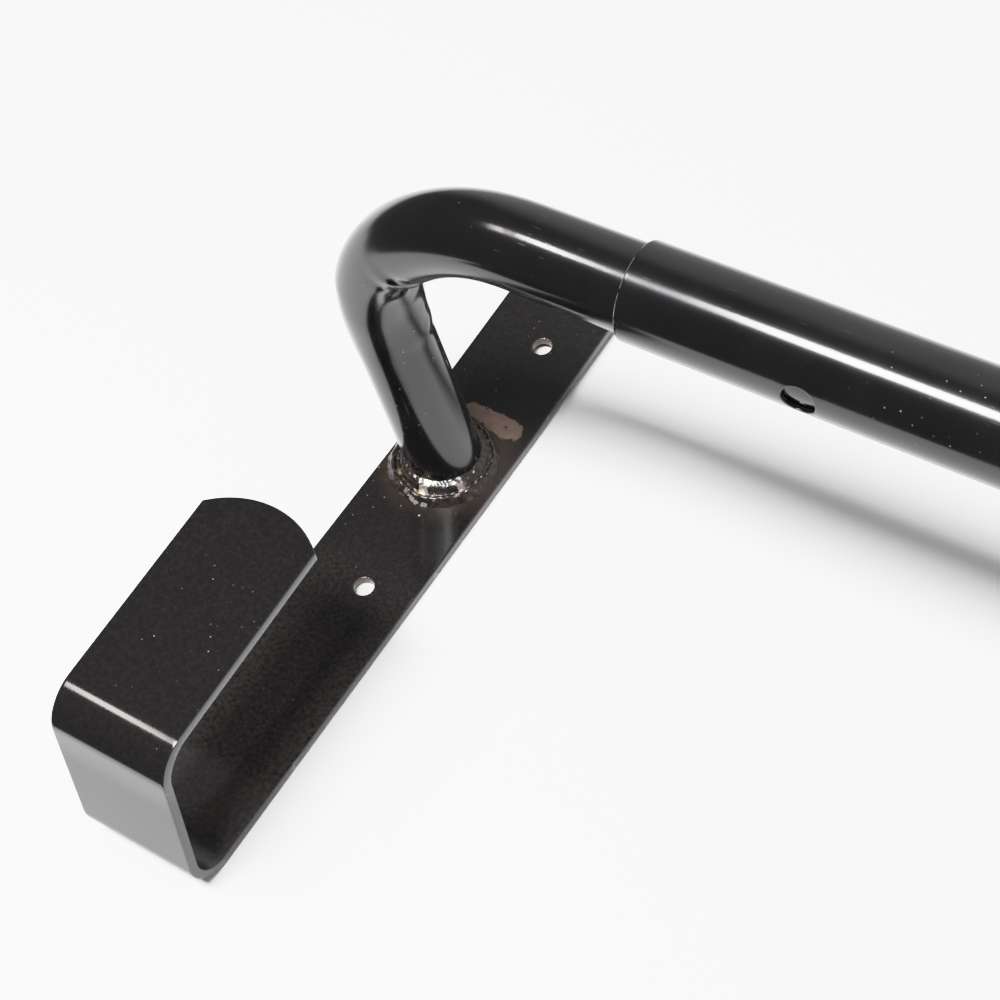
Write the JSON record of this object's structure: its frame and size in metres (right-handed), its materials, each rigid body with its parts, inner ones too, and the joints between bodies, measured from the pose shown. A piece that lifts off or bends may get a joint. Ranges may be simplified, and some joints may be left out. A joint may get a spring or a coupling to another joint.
{
  "type": "door security bar",
  "caption": "Telescoping tube bar with bent ends welded to hooked flat strips; locks to length with spring buttons to brace a door.",
  "frame": {"origin": "midway between the two strips, at the middle of their length, in the plane of their undersides", "axes": "+X along the bar from the left end to the right end, +Y from the hooks to the plain ends of the strips, +Z from the strips up to the bar"},
  "size_m": [0.8068, 0.2516, 0.1385],
  "materials": {
    "gloss_black_enamel": "gloss black enamel on steel tube, lightly scratched and dusty",
    "satin_black_enamel": "satin black enamel on steel strip, mottled, with worn and rusty patches by the weld",
    "weld_metal": "lumpy weld bead under thin black enamel, with bare bright spots and heat tint",
    "zinc_plated_steel": "zinc-plated pressed steel",
    "spring_steel": "oiled blue-grey spring steel"
  },
  "bodies": {
    "sleeve": {"center_sleeve": "gloss_black_enamel"},
    "left_end": {"left_bent_tube": "gloss_black_enamel", "left_hook_strip": "satin_black_enamel", "left_weld_bead": "weld_metal", "left_button_spring": "spring_steel"},
    "left_button": {"left_snap_button": "zinc_plated_steel"},
    "right_end": {"right_bent_tube": "gloss_black_enamel", "right_hook_strip": "satin_black_enamel", "right_weld_bead": "weld_metal", "right_button_spring": "spring_steel"},
    "right_button": {"right_snap_button": "zinc_plated_steel"}
  },
  "joints": [
    {"name": "left_slide", "type": "slide", "parent": "sleeve", "child": "left_end", "axis": [-1, 0, 0], "range_m": [0, 0.15], "deforming": ["left_snap_button"]},
    {"name": "left_button_press", "type": "slide", "parent": "left_end", "child": "left_button", "axis": [0, -0.9962, -0.0872], "range_m": [-0.0047, 0], "stiffness_N_per_m": 1500, "springref_m": 0.002, "deforming": ["left_button_spring"]},
    {"name": "right_slide", "type": "slide", "parent": "sleeve", "child": "right_end", "axis": [1, 0, 0], "range_m": [0, 0.15], "deforming": ["right_snap_button"]},
    {"name": "right_button_press", "type": "slide", "parent": "right_end", "child": "right_button", "axis": [0, -0.9962, -0.0872], "range_m": [-0.0047, 0], "stiffness_N_per_m": 1500, "springref_m": 0.002, "deforming": ["right_button_spring"]}
  ]
}
